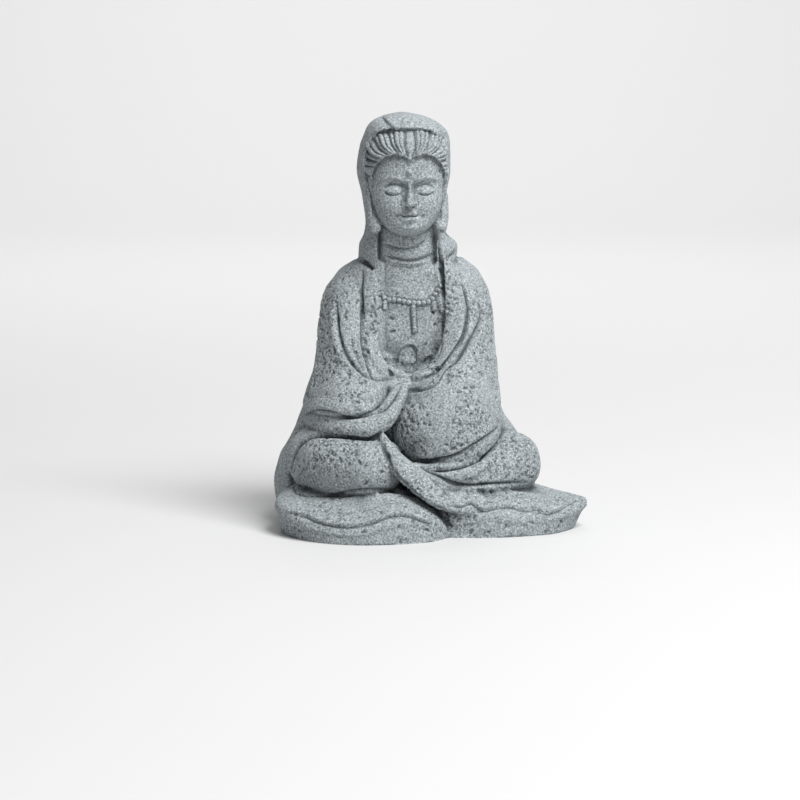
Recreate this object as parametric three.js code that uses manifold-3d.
// A small seated figure of Avalokiteshvara, cast in one piece in sandstone resin.
// Millimetres, +Z up, +X to the right of somebody who faces the figure, -Y towards them.
// The origin is on the flat underside, below the head.
import * as THREE from "three";
import { LoftGeometry } from "three/addons/geometries/LoftGeometry.js";
import { mergeVertices } from "three/addons/utils/BufferGeometryUtils.js";
import Module from "manifold-3d";

const wasm = await Module();
wasm.setup();

// Driving dimensions
const HEIGHT = 95;
const SHOULDER_Z = 60;
const CROWN_Z = 93.5;
const HAIRLINE_Z = 85.5;
const HEAD_WIDTH = 17.6;
const HEAD_TURN = THREE.MathUtils.degToRad(4);

// The face: a head is 1.45 times as high as it is wide, and brow and nose divide a face in thirds
const CHIN_Z = CROWN_Z - 1.45 * HEAD_WIDTH;
const FACE = HAIRLINE_Z - CHIN_Z;
const BROW_Z = CHIN_Z + (FACE * 2) / 3;
const NOSE_Z = CHIN_Z + FACE / 3;
const MOUTH_Z = CHIN_Z + (FACE * 2) / 9;
const EYE_Z = BROW_Z - FACE / 10;

// The eye that lines on the figure are drawn for, and the spacing of sections along a line
const EYE_DISTANCE = 700;
const EYE_HEIGHT = 28.8;
const BAND_STEP = 3;
const FOLD_STEP = 5.6;

const UP = new THREE.Vector3(0, 0, 1);

// A geometry as a manifold solid, with shared vertices merged.
function solid(geometry) {
  const bare = new THREE.BufferGeometry();
  bare.setAttribute("position", geometry.getAttribute("position"));
  bare.setIndex(geometry.getIndex());
  const merged = mergeVertices(bare, 1e-4);
  return new wasm.Manifold(
    new wasm.Mesh({
      numProp: 3,
      vertProperties: new Float32Array(merged.attributes.position.array),
      triVerts: new Uint32Array(merged.index.array),
    }),
  );
}

// A manifold solid as a three.js geometry.
function geometryOf(body) {
  const mesh = body.getMesh();
  const geometry = new THREE.BufferGeometry();
  geometry.setAttribute(
    "position",
    new THREE.Float32BufferAttribute(mesh.vertProperties, 3),
  );
  geometry.setIndex(new THREE.BufferAttribute(new Uint32Array(mesh.triVerts), 1));
  geometry.computeVertexNormals();
  return geometry;
}

// Rows of numbers as one smooth curve: each row starts with its place along the curve.
function smooth(rows) {
  const places = rows.map((row) => row[0]);
  const width = rows[0].length - 1;
  const values = rows.flatMap((row) => row.slice(1));
  const curve = new THREE.CubicInterpolant(places, values, width, new Array(width));
  return (place) => [...curve.evaluate(place)];
}

// Places along rows: each gap between two rows is divided in `per` steps.
function steps(rows, per) {
  const places = [];
  for (let i = 0; i < rows.length - 1; i++)
    for (let k = 0; k < per; k++)
      places.push(THREE.MathUtils.lerp(rows[i][0], rows[i + 1][0], k / per));
  places.push(rows[rows.length - 1][0]);
  return places;
}

// One power of a cosine or sine, which squares up a round section as `square` rises above 2.
const rounded = (value, square) =>
  Math.sign(value) * Math.abs(value) ** (2 / square);

// A form stacked from level sections. Each row is height, centre x, centre y, half width,
// reach to the front and reach to the back.
function stack(rows, { around = 32, per = 2, square = 2, lift = () => 0 } = {}) {
  const at = smooth(rows);
  const sections = steps(rows, per).map((z) => {
    const [x, y, half, front, back] = at(z);
    return Array.from({ length: around }, (_, i) => {
      const angle = (i / around) * 2 * Math.PI;
      const across = rounded(Math.cos(angle), square) * half;
      const along = rounded(Math.sin(angle), square);
      const reach = along * (along < 0 ? front : back);
      return new THREE.Vector3(x + across, y + reach, z + lift(x + across, y + reach));
    });
  });
  return solid(new LoftGeometry(sections, { capStart: true, capEnd: true }));
}

// A rounded limb or roll of cloth along a path. Each row is x, y, z, half breadth, half height
// and roll in degrees about the path.
function limb(rows, { around = 20, per = 3, square = 2, ends = 3, blunt = 1 } = {}) {
  let place = 0;
  const placed = rows.map((row, i) => {
    if (i > 0) {
      const [a, b] = [rows[i - 1], row];
      place += Math.hypot(b[0] - a[0], b[1] - a[1], b[2] - a[2]);
    }
    return [place, ...row];
  });
  const at = smooth(placed);
  const step = 0.01;
  const frame = (s) => {
    const here = at(s);
    const low = at(Math.max(s - step, 0));
    const high = at(Math.min(s + step, place));
    const forward = new THREE.Vector3(
      high[0] - low[0],
      high[1] - low[1],
      high[2] - low[2],
    ).normalize();
    const side = new THREE.Vector3().crossVectors(forward, UP);
    if (side.length() < 0.05) side.set(1, 0, 0);
    side.normalize();
    const rise = new THREE.Vector3().crossVectors(side, forward);
    const roll = THREE.MathUtils.degToRad(here[5] ?? 0);
    side.applyAxisAngle(forward, roll);
    rise.applyAxisAngle(forward, roll);
    return { centre: new THREE.Vector3(here[0], here[1], here[2]), forward, side, rise, here };
  };
  const ring = ({ centre, side, rise, here }, scale, push) =>
    Array.from({ length: around }, (_, i) => {
      const angle = (i / around) * 2 * Math.PI;
      return centre
        .clone()
        .add(push)
        .addScaledVector(side, rounded(Math.cos(angle), square) * here[3] * scale)
        .addScaledVector(rise, -rounded(Math.sin(angle), square) * here[4] * scale);
    });
  const sections = [];
  const dome = (s, way) => {
    const f = frame(s);
    const reach = Math.min(f.here[3], f.here[4]) * blunt * way;
    for (let k = ends; k > 0; k--) {
      const angle = (k / (ends + 0.35)) * (Math.PI / 2);
      const push = f.forward.clone().multiplyScalar(Math.sin(angle) * reach);
      sections.push(ring(f, Math.cos(angle), push));
    }
    return f;
  };
  dome(0, -1);
  for (const s of steps(placed, per)) sections.push(ring(frame(s), 1, new THREE.Vector3()));
  const tail = sections.length;
  dome(place, 1);
  sections.push(...sections.splice(tail).reverse());
  return solid(new LoftGeometry(sections, { capStart: true, capEnd: true }));
}

// Cloth heaped on the ground. Its foot, the top edge of its front face and its crest are closed
// curves through the same number of points, counterclockwise from above.
function heap(points, around = 26) {
  const ring = (pick) =>
    new THREE.CatmullRomCurve3(points.map((row) => new THREE.Vector3(...pick(row))), true)
      .getPoints(around)
      .slice(0, around);
  const foot = ring(({ edge: [x, y], inset = 0 }) => [x * (1 - inset), y, 0]);
  const rim = ring(({ edge }) => edge);
  const crest = ring((row) => row.crest);
  const between = (low, high, share, rise) =>
    low.map((point, i) => point.clone().lerp(high[i], share).addScaledVector(UP, rise));
  return solid(
    new LoftGeometry(
      [
        between(foot, foot, 0, -2),
        between(foot, rim, 0.3, 0),
        between(rim, crest, -0.04, -1),
        rim,
        between(rim, crest, 0.1, 0.5),
        between(rim, crest, 0.55, 0.4),
        crest,
      ],
      { capStart: true, capEnd: true },
    ),
  );
}

// Forms that are joined one after another.
const join = (parts) => parts.reduce((whole, part) => whole.add(part));

// Where somebody stands who looks at the figure: degrees round it and above level. Points of a
// picture from there are millimetres to the right and up in the plane through the origin.
function viewpoint(azimuth, elevation) {
  const turn = THREE.MathUtils.degToRad(azimuth);
  const tilt = THREE.MathUtils.degToRad(elevation);
  const back = new THREE.Vector3(
    Math.sin(turn) * Math.cos(tilt),
    -Math.cos(turn) * Math.cos(tilt),
    Math.sin(tilt),
  );
  const right = new THREE.Vector3(Math.cos(turn), Math.sin(turn), 0);
  const up = new THREE.Vector3().crossVectors(back, right);
  const eye = back.clone().multiplyScalar(EYE_DISTANCE).addScaledVector(up, EYE_HEIGHT);
  return { right, up, eye };
}

// A line drawn in a picture of the figure, laid on its surface: points with their normals.
function onSurface(mesh, view, points, spacing) {
  const { right, up, eye } = viewpoint(...view);
  const drawn = new THREE.CatmullRomCurve3(points.map(([u, v]) => new THREE.Vector3(u, v, 0)));
  const count = Math.max(3, Math.ceil(drawn.getLength() / spacing));
  const caster = new THREE.Raycaster();
  const hits = [];
  for (const { x: u, y: v } of drawn.getSpacedPoints(count)) {
    const aim = right.clone().multiplyScalar(u).addScaledVector(up, v);
    caster.set(eye, aim.sub(eye).normalize());
    const [hit] = caster.intersectObject(mesh);
    if (hit) hits.push({ point: hit.point, normal: hit.face.normal.clone() });
  }
  return hits.map(({ point }, i) => {
    const normal = new THREE.Vector3();
    for (const near of hits.slice(Math.max(i - 3, 0), i + 4)) normal.add(near.normal);
    return { point, normal: normal.normalize() };
  });
}

// Sections across a line on the surface. Each corner of the section is a place across the line
// and a height above the surface.
function along(line, corners) {
  const sections = line.map(({ point, normal }, i) => {
    const forward = line[Math.min(i + 1, line.length - 1)].point
      .clone()
      .sub(line[Math.max(i - 1, 0)].point)
      .normalize();
    const across = new THREE.Vector3().crossVectors(forward, normal).normalize();
    const size = Math.sin(THREE.MathUtils.lerp(0.25, Math.PI - 0.25, i / (line.length - 1)));
    return corners(Math.min(1, 1.6 * size)).map(([side, height]) =>
      point.clone().addScaledVector(across, side).addScaledVector(normal, height),
    );
  });
  return solid(new LoftGeometry(sections, { capStart: true, capEnd: true }));
}

// A V-shaped cut along a line
function cut(line, half, depth) {
  return along(line, (size) => [
    [half * size, 0.5 * depth],
    [0, -depth * size],
    [-half * size, 0.5 * depth],
  ]);
}

// A flat band of cloth with rounded edges along a line
function band(line, half, thick) {
  const corners = 6;
  return along(line, (size) =>
    Array.from({ length: corners }, (_, i) => {
      const angle = ((i + 0.5) / corners) * 2 * Math.PI;
      return [
        -rounded(Math.cos(angle), 2.8) * half * Math.max(size, 0.8),
        rounded(Math.sin(angle), 2.8) * thick * Math.max(size, 0.8) - 0.15 * thick,
      ];
    }),
  );
}

// The robe's trunk, from the ground to the shoulders
const trunk = stack(
  [
    [-2, -0.3, 5, 27, 13, 23],
    [3, -0.4, 5, 29.6, 14, 25],
    [9, -0.6, 5, 30.4, 14, 24.5],
    [15, -0.6, 5, 29.2, 14, 22.5],
    [20, -0.4, 5, 26.4, 13, 20.5],
    [25, -1.2, 5.5, 23.8, 13, 19],
    [32, -1, 6, 21.4, 13, 17.5],
    [40, -0.3, 7, 20.2, 13.8, 16],
    [47, -0.2, 7.5, 19.4, 13.4, 14.8],
    [53.5, -0.1, 8, 17.8, 13.2, 13.4],
    [57.5, -0.2, 8.2, 14.8, 12.4, 12],
    [SHOULDER_Z, 0, 8.4, 11, 11.6, 10.4],
    [62, 0, 8.5, 7, 9, 8],
  ],
  { around: 28, per: 1, square: 2.3 },
);

// Sleeves: each hangs from a shoulder and widens to its hem over the lap
const rightSleeve = stack(
  [
    [26, -13, -1, 6, 11, 6],
    [26.8, -13.2, -1, 9.4, 15, 8],
    [28.4, -13.2, -1, 10.8, 17, 9],
    [31, -13, -0.8, 10.4, 16.8, 9],
    [35, -13, -0.2, 9, 15.2, 9],
    [40, -13.4, 2, 7.6, 14, 9],
    [47, -13, 5, 7.2, 12.2, 8],
    [53.5, -12.2, 6.5, 6.7, 10.4, 7.5],
    [57.4, -10.8, 7.5, 5.2, 7.6, 6],
    [59.8, -9.6, 8, 2.6, 3.4, 3.6],
  ],
  { around: 18, per: 1, lift: (x) => 0.16 * Math.max(0, x + 11) ** 1.55 },
);
const leftSleeve = stack(
  [
    [16, 9, -4.5, 4.6, 8.5, 5],
    [17, 9, -4.2, 8.6, 12.6, 8],
    [19.4, 9.1, -4, 11.4, 15, 9],
    [23, 9, -4, 12.6, 16.2, 9],
    [28, 9.4, -3.8, 12.1, 15.8, 9],
    [34, 11.7, -2, 9.1, 14.4, 9],
    [40, 12.9, 1.6, 7.4, 13.4, 9],
    [47, 12.8, 5, 7, 12.2, 8],
    [53.5, 12, 6.5, 6.7, 10.4, 7.5],
    [57.4, 10.7, 7.5, 5.2, 7.6, 6],
    [59.8, 9.6, 8, 2.6, 3.4, 3.6],
  ],
  { around: 20, per: 1, square: 2.1 },
);

// The roll of cloth under the right sleeve, which sweeps up to the middle of the lap
const sleeveRoll = limb(
  [
    [-22, 6, 24.6, 2.4, 4.2],
    [-20.6, -4.8, 25.4, 2.8, 4],
    [-15.5, -13.4, 26, 3.6, 3.6],
    [-8.5, -17.6, 26.4, 3, 3.2],
    [-4, -17.6, 29.6, 2.4, 2.4],
    [-0.8, -16, 34.6, 1.9, 1.4],
  ],
  { around: 10, per: 2, ends: 2 },
);

// Crossed legs under the robe
const rightKnee = limb(
  [
    [-19, -6, 16.3, 9, 7.9],
    [-13, -12.2, 16.2, 9.4, 8.1],
    [-5, -16.4, 15.6, 8.4, 7.4],
  ],
  { around: 18, per: 2, ends: 2, square: 2.2 },
);
const leftKnee = limb(
  [
    [22.4, -2, 14.4, 8.2, 7.2],
    [16, -8, 13, 8.4, 6.2],
    [6, -15.5, 12, 5.6, 4.8],
  ],
  { around: 18, per: 2, ends: 2, square: 2.2 },
);
const kneeFold = limb(
  [
    [23.4, -1, 19, 2.6, 2.6],
    [18.5, -10.2, 16.8, 3.6, 3],
    [10.5, -17, 14.6, 4, 2.8],
    [2, -19.4, 14.4, 3.4, 2.6],
  ],
  { around: 10, per: 2, ends: 2 },
);

// Hems that lie on the ground in front
const rightHem = heap([
  { edge: [9.4, -18.5, 2], crest: [4, -15, 8] },
  { edge: [7, -12, 4], crest: [3, -12, 9] },
  { edge: [-8, 0, 6], crest: [-8, -4, 11] },
  { edge: [-26, 0, 7.5], crest: [-22, -4, 11] },
  { edge: [-30, -11, 7], crest: [-25.5, -10.5, 10], inset: 0.04 },
  { edge: [-27, -21.5, 5.6], crest: [-23, -16, 8.8], inset: 0.04 },
  { edge: [-19.5, -27.6, 3.8], crest: [-18, -19, 8.8] },
  { edge: [-11, -30, 3.4], crest: [-12, -20.5, 9.8] },
  { edge: [-2, -29, 5.8], crest: [-4, -21.5, 10.8] },
  { edge: [5.5, -25, 5], crest: [1, -20, 9.4] },
]);
const leftHem = heap([
  { edge: [41.4, -5, 6], crest: [38, -4, 6.8], inset: 0.16 },
  { edge: [38, 1, 6], crest: [34, 0, 8], inset: 0.1 },
  { edge: [28, 6, 7], crest: [26, 1, 10] },
  { edge: [12, 2, 8], crest: [14, -2, 11] },
  { edge: [4, -8, 8], crest: [8, -8, 11] },
  { edge: [8.5, -17.5, 7], crest: [9.5, -13.5, 10.8] },
  { edge: [14, -18.4, 5.2], crest: [14, -13.5, 10.6] },
  { edge: [20, -18, 6.1], crest: [19.5, -12.6, 10.4] },
  { edge: [27, -15.8, 4.4], crest: [26, -10.5, 9.4] },
  { edge: [35, -12.4, 5], crest: [32, -7.5, 8], inset: 0.06 },
]);

// The end of the robe that falls from the lap and spreads over the left hem
const fall = limb(
  [
    [-5.4, -19.4, 24, 1.8, 1.4, 44],
    [-3.6, -21.6, 19.4, 2.6, 1.5, 42],
    [0, -22.2, 15, 3.7, 1.7, 40],
    [5.6, -20, 11, 5.4, 2, 38],
    [12, -16, 8.4, 6.6, 2.2, 36],
    [18, -12, 8, 6.4, 2.2, 34],
  ],
  { around: 12, per: 2, ends: 1 },
);

// Head and face
const skull = stack(
  [
    [CHIN_Z - 0.6, 0, -3.8, 2, 2.8, 2],
    [CHIN_Z + 0.2, 0, -3, 4, 5.2, 5],
    [CHIN_Z + 1.8, 0, -1.8, 5.9, 7, 8],
    [CHIN_Z + 4.6, 0, -0.8, 7.6, 8, 9],
    [CHIN_Z + 8.4, 0, -0.3, 8.6, 8.5, 9],
    [CHIN_Z + 12.4, 0, 0, HEAD_WIDTH / 2, 8.7, 9],
    [CHIN_Z + 16.6, 0, 0.2, 8.6, 8.9, 9],
    [CHIN_Z + 20.4, 0, 0.8, 7.5, 8.5, 9],
    [CROWN_Z - 2, 0, 1.2, 5.4, 6.4, 7],
    [CROWN_Z - 0.6, 0, 1.5, 2.6, 3.6, 4],
  ],
  { around: 20, per: 1, square: 2.2 },
);
const nose = limb(
  [
    [0, -8.3, BROW_Z - 0.6, 0.7, 0.7],
    [0, -8.6, EYE_Z - 1.4, 0.9, 0.9],
    [0, -8.9, NOSE_Z + 0.7, 1.4, 0.9],
  ],
  { around: 10, per: 1, ends: 2 },
);
const eyelids = [-1, 1].map((side) =>
  limb(
    [
      [side * 2, -8.4, EYE_Z - 0.2, 0.5, 0.5],
      [side * 3.8, -7.9, EYE_Z, 0.9, 0.9],
      [side * 5.6, -6.9, EYE_Z - 0.1, 0.6, 0.5],
    ],
    { around: 8, per: 1, ends: 2 },
  ),
);
const lips = limb(
  [
    [-2, -8.3, MOUTH_Z + 0.2, 0.4, 0.4],
    [0, -8.7, MOUTH_Z - 0.1, 0.7, 0.9],
    [2, -8.3, MOUTH_Z + 0.2, 0.4, 0.4],
  ],
  { around: 8, per: 1, ends: 2 },
);
const earlobes = [-1, 1].map((side) =>
  limb(
    [
      [side * 8.5, -0.8, EYE_Z - 2, 0.9, 1.4],
      [side * 8.2, -1.4, NOSE_Z - 2, 0.9, 1.3],
      [side * 7.4, -2.4, CHIN_Z + 0.4, 1.2, 1.3],
    ],
    { around: 8, per: 1, ends: 2 },
  ),
);

// Hair: a swell over the skull, open in two bows above the face
const hairSwell = stack(
  [
    [CHIN_Z + 7, 0, 1.2, 8.6, 6, 8],
    [CHIN_Z + 10, 0, 0.6, 9.2, 8.4, 9],
    [CHIN_Z + 14, 0, 0.2, 9.4, 9.5, 9],
    [CHIN_Z + 17.6, 0, 0.3, 9.3, 10, 9],
    [CHIN_Z + 20.8, 0, 0.8, 8.3, 9.6, 9],
    [CROWN_Z - 2, 0, 1.2, 6.2, 7.6, 8],
    [CROWN_Z - 0.2, 0, 1.6, 3, 4, 5],
  ],
  { around: 20, per: 1, square: 2.5 },
);
const browBows = [-1, 1].map((side) =>
  limb(
    [
      [side * 3.3, -30, HAIRLINE_Z - 6.4, 5.3, 6.8],
      [side * 3.3, -2.6, HAIRLINE_Z - 6.4, 5.3, 6.8],
    ],
    { around: 18, per: 1, ends: 1, blunt: 0.2 },
  ),
);
const cheekOpening = limb(
  [
    [0, -30, NOSE_Z - 3, 8.8, 9],
    [0, -2.6, NOSE_Z - 3, 8.8, 9],
  ],
  { around: 12, per: 1, ends: 1, blunt: 0.2 },
);
const hair = hairSwell.subtract(join([...browBows, cheekOpening]));
const head = solid(
  geometryOf(join([skull, hair, nose, ...eyelids, lips, ...earlobes])).rotateZ(HEAD_TURN),
);
const neck = stack(
  [
    [54, 0, 2.4, 7, 5.4, 6],
    [58.5, 0, 1.8, 7.2, 6.2, 6],
    [61.5, 0, 1.4, 6.9, 6.4, 6],
    [65, 0, 1.2, 6.6, 6, 6],
    [CHIN_Z + 5, 0, 1, 6.2, 5.4, 6],
  ],
  { around: 16, per: 1 },
);

// The hood, which is drawn over the hair and falls to the shoulders
const hoodShell = stack(
  [
    [55, 0, 8, 9.6, 9, 12],
    [58.5, -0.2, 7.4, 10.8, 11, 12.4],
    [61.5, 0.1, 6.8, 11.3, 11.4, 12.4],
    [64, 0.3, 6.4, 11.2, 11, 12],
    [66.8, -0.4, 5.6, 9.3, 9.8, 11.8],
    [69.5, -0.7, 5, 8.6, 9, 11.6],
    [76, -0.7, 4.4, 9.4, 10, 12],
    [82, -0.8, 3.8, 10.5, 11.4, 12.6],
    [87, -0.5, 3.4, 10.4, 11.9, 12.2],
    [90.2, -0.2, 3.2, 9.6, 11.9, 11],
    [92.4, -0.6, 3, 8, 10.4, 8.8],
    [94.2, -1, 2.4, 4.6, 6.2, 5.4],
    [HEIGHT, -1.2, 2.2, 1, 1.2, 1.2],
  ],
  { around: 24, per: 1, square: 2.35 },
);
const faceOpening = limb(
  [
    [-0.2, -30, 80.8, 9.5, 11.3],
    [-0.2, -1, 80.8, 9.3, 11.1],
  ],
  { around: 20, per: 1, square: 3.2, ends: 1, blunt: 0.15 },
);
const throatOpening = limb(
  [
    [0, -30, 64, 6.8, 9],
    [0, 0.6, 64, 6.8, 9],
  ],
  { around: 16, per: 1, square: 3, ends: 1, blunt: 0.2 },
);
const hood = hoodShell.subtract(faceOpening.add(throatOpening));

// The hood's cloth on the back, which ends in a soft bow between the shoulder blades
const backVeil = stack(
  [
    [44.5, 0, 10, 9, 4, 12.6],
    [45.4, 0, 10, 11.6, 4, 14],
    [52, 0, 9.6, 13.4, 4, 13.6],
    [57, 0, 9, 12, 4, 12.8],
    [61, 0, 8, 10, 4, 12.2],
  ],
  { around: 16, per: 1, lift: (x) => 0.018 * x * x },
);

const ground = stack(
  [
    [-40, 0, 0, 90, 90, 90],
    [0, 0, 0, 90, 90, 90],
  ],
  { around: 4, per: 1 },
);

const bare = join([
  trunk,
  rightSleeve,
  leftSleeve,
  sleeveRoll,
  rightKnee,
  leftKnee,
  kneeFold,
  rightHem,
  leftHem,
  fall,
  neck,
  hood,
  backVeil,
  head,
]).subtract(ground);

// Views that the lines below are drawn in: azimuth and elevation in degrees
const FRONT = [0, 7.5];
const LEFT = [90, 0];
const BACK = [180, 0];
const RIGHT = [270, 0];

// Bands of cloth laid on the robe, as seen from the front: half width, thickness and line
const BANDS = [
  [2, 1.5, [[-8.6, 59.4], [-8.2, 51.5], [-8.3, 46], [-8.2, 41.4], [-6.8, 36.6], [-4, 34.6], [0, 34.3]]],
  [2.4, 1.5, [[8.8, 62], [10.1, 57], [11, 52], [11.2, 47], [10.6, 42.6], [8.6, 38.6], [5.5, 35.6], [1, 34]]],
  [0.9, 0.9, [[-1.4, 36.4], [-1.6, 39.3], [0.2, 42.2], [2.2, 42.2], [3.2, 39.6], [1.8, 36.6]]],
  [0.8, 0.6, [[-6, 39.7], [-4.2, 38.5], [-2.1, 38.1]]],
  [0.8, 0.6, [[3, 37.6], [5.1, 38.3], [7.4, 40]]],
  [0.6, 0.5, [[-6, 53.1], [-4.6, 51.8], [0.6, 51.2], [5.2, 51.5], [7.9, 54.6]]],
  [0.6, 0.5, [[1.4, 50.8], [1.6, 48], [1.8, 45]]],
];
const bareMesh = new THREE.Mesh(geometryOf(bare));
const clothed = join([
  bare,
  ...BANDS.map(([half, thick, line]) =>
    band(onSurface(bareMesh, FRONT, line, BAND_STEP), half, thick),
  ),
]);

// Fold lines that are cut in the stone: view, half width, depth and line
const FOLDS = [
  [FRONT, 0.9, 1.2, [[-10.6, 58], [-10.9, 49], [-10.6, 41.9], [-8.8, 35.3], [-7, 33], [-3, 32.8]]],
  [FRONT, 1, 1, [[-16.6, 51.5], [-15.9, 43.9], [-12.3, 36.7], [-6.9, 33]]],
  [FRONT, 0.9, 1.1, [[-23.4, 25.4], [-19.2, 26.3], [-12.9, 24.8], [-7.3, 26.3], [-2.3, 30.9]]],
  [FRONT, 0.9, 1.1, [[-26.4, 13], [-24.5, 18.7], [-19.5, 20.8], [-11.3, 20.3], [-4.6, 22.9]]],
  [FRONT, 0.8, 1.1, [[13.1, 60], [13.8, 52.2], [14, 47], [12.9, 41.9]]],
  [FRONT, 0.9, 1, [[16.9, 52.8], [16.8, 47.2], [13.8, 41.3], [9.5, 36], [5.2, 32.4]]],
  [FRONT, 0.7, 0.9, [[-0.2, 30.6], [4.2, 31], [7.4, 33.4]]],
  [FRONT, 0.8, 0.9, [[-5, 21.2], [-1.4, 16.9], [4.2, 15.2], [11.2, 17.2], [21.5, 22.6]]],
  [FRONT, 0.8, 1, [[4.2, 13.5], [10.2, 13.2], [16.8, 16.5], [21.9, 20.1]]],
  [FRONT, 0.5, 0.5, [[-5.4, 63.4], [-2.5, 62], [0.9, 61.5], [4.4, 62.1], [6.4, 63.2]]],
  [FRONT, 0.5, 0.5, [[-5.2, 66], [-2.5, 64.9], [0.5, 64.5], [3.6, 65], [5.8, 66.2]]],
  [LEFT, 0.9, 1, [[9, 56], [2, 44], [-4, 33], [-11, 24]]],
  [LEFT, 0.9, 1, [[17, 44], [15, 30], [13, 16]]],
  [RIGHT, 0.9, 1, [[-9, 56], [-2, 44], [4, 36], [8, 30]]],
  [RIGHT, 0.9, 1, [[-17, 44], [-15, 30], [-12, 16]]],
  [BACK, 0.9, 1, [[0.6, 42], [-0.8, 28], [-1.6, 12]]],
  [BACK, 0.9, 1, [[10, 44], [13.6, 30], [17, 10]]],
  [BACK, 0.9, 1, [[-10, 44], [-13.2, 30], [-16, 10]]],
];

// Locks of hair, combed up and outward from a parting above the brow
const LOCKS = 4;
for (const side of [-1, 1])
  for (let i = 0; i < LOCKS; i++)
    FOLDS.push([
      FRONT,
      0.4,
      0.5,
      [
        [side * (0.6 + 1.9 * i), HAIRLINE_Z - 1.2 + 0.5 * Math.sin(i)],
        [side * (1.4 + 2.05 * i), HAIRLINE_Z + 1.6],
        [side * (2.6 + 2 * i), HAIRLINE_Z + 3.8 - 0.45 * i],
      ],
    ]);

const clothedMesh = new THREE.Mesh(geometryOf(clothed));
const figure = FOLDS.reduce(
  (whole, [view, half, depth, line]) =>
    whole.subtract(cut(onSurface(clothedMesh, view, line, FOLD_STEP), half, depth)),
  clothed,
);

const stone = new THREE.MeshStandardMaterial({
  color: new THREE.Color(0x8d9497),
  roughness: 0.95,
  metalness: 0,
});

const mesh = new THREE.Mesh(geometryOf(figure), stone);
mesh.name = "figure";
const statue = new THREE.Group();
statue.add(mesh);

export default statue;
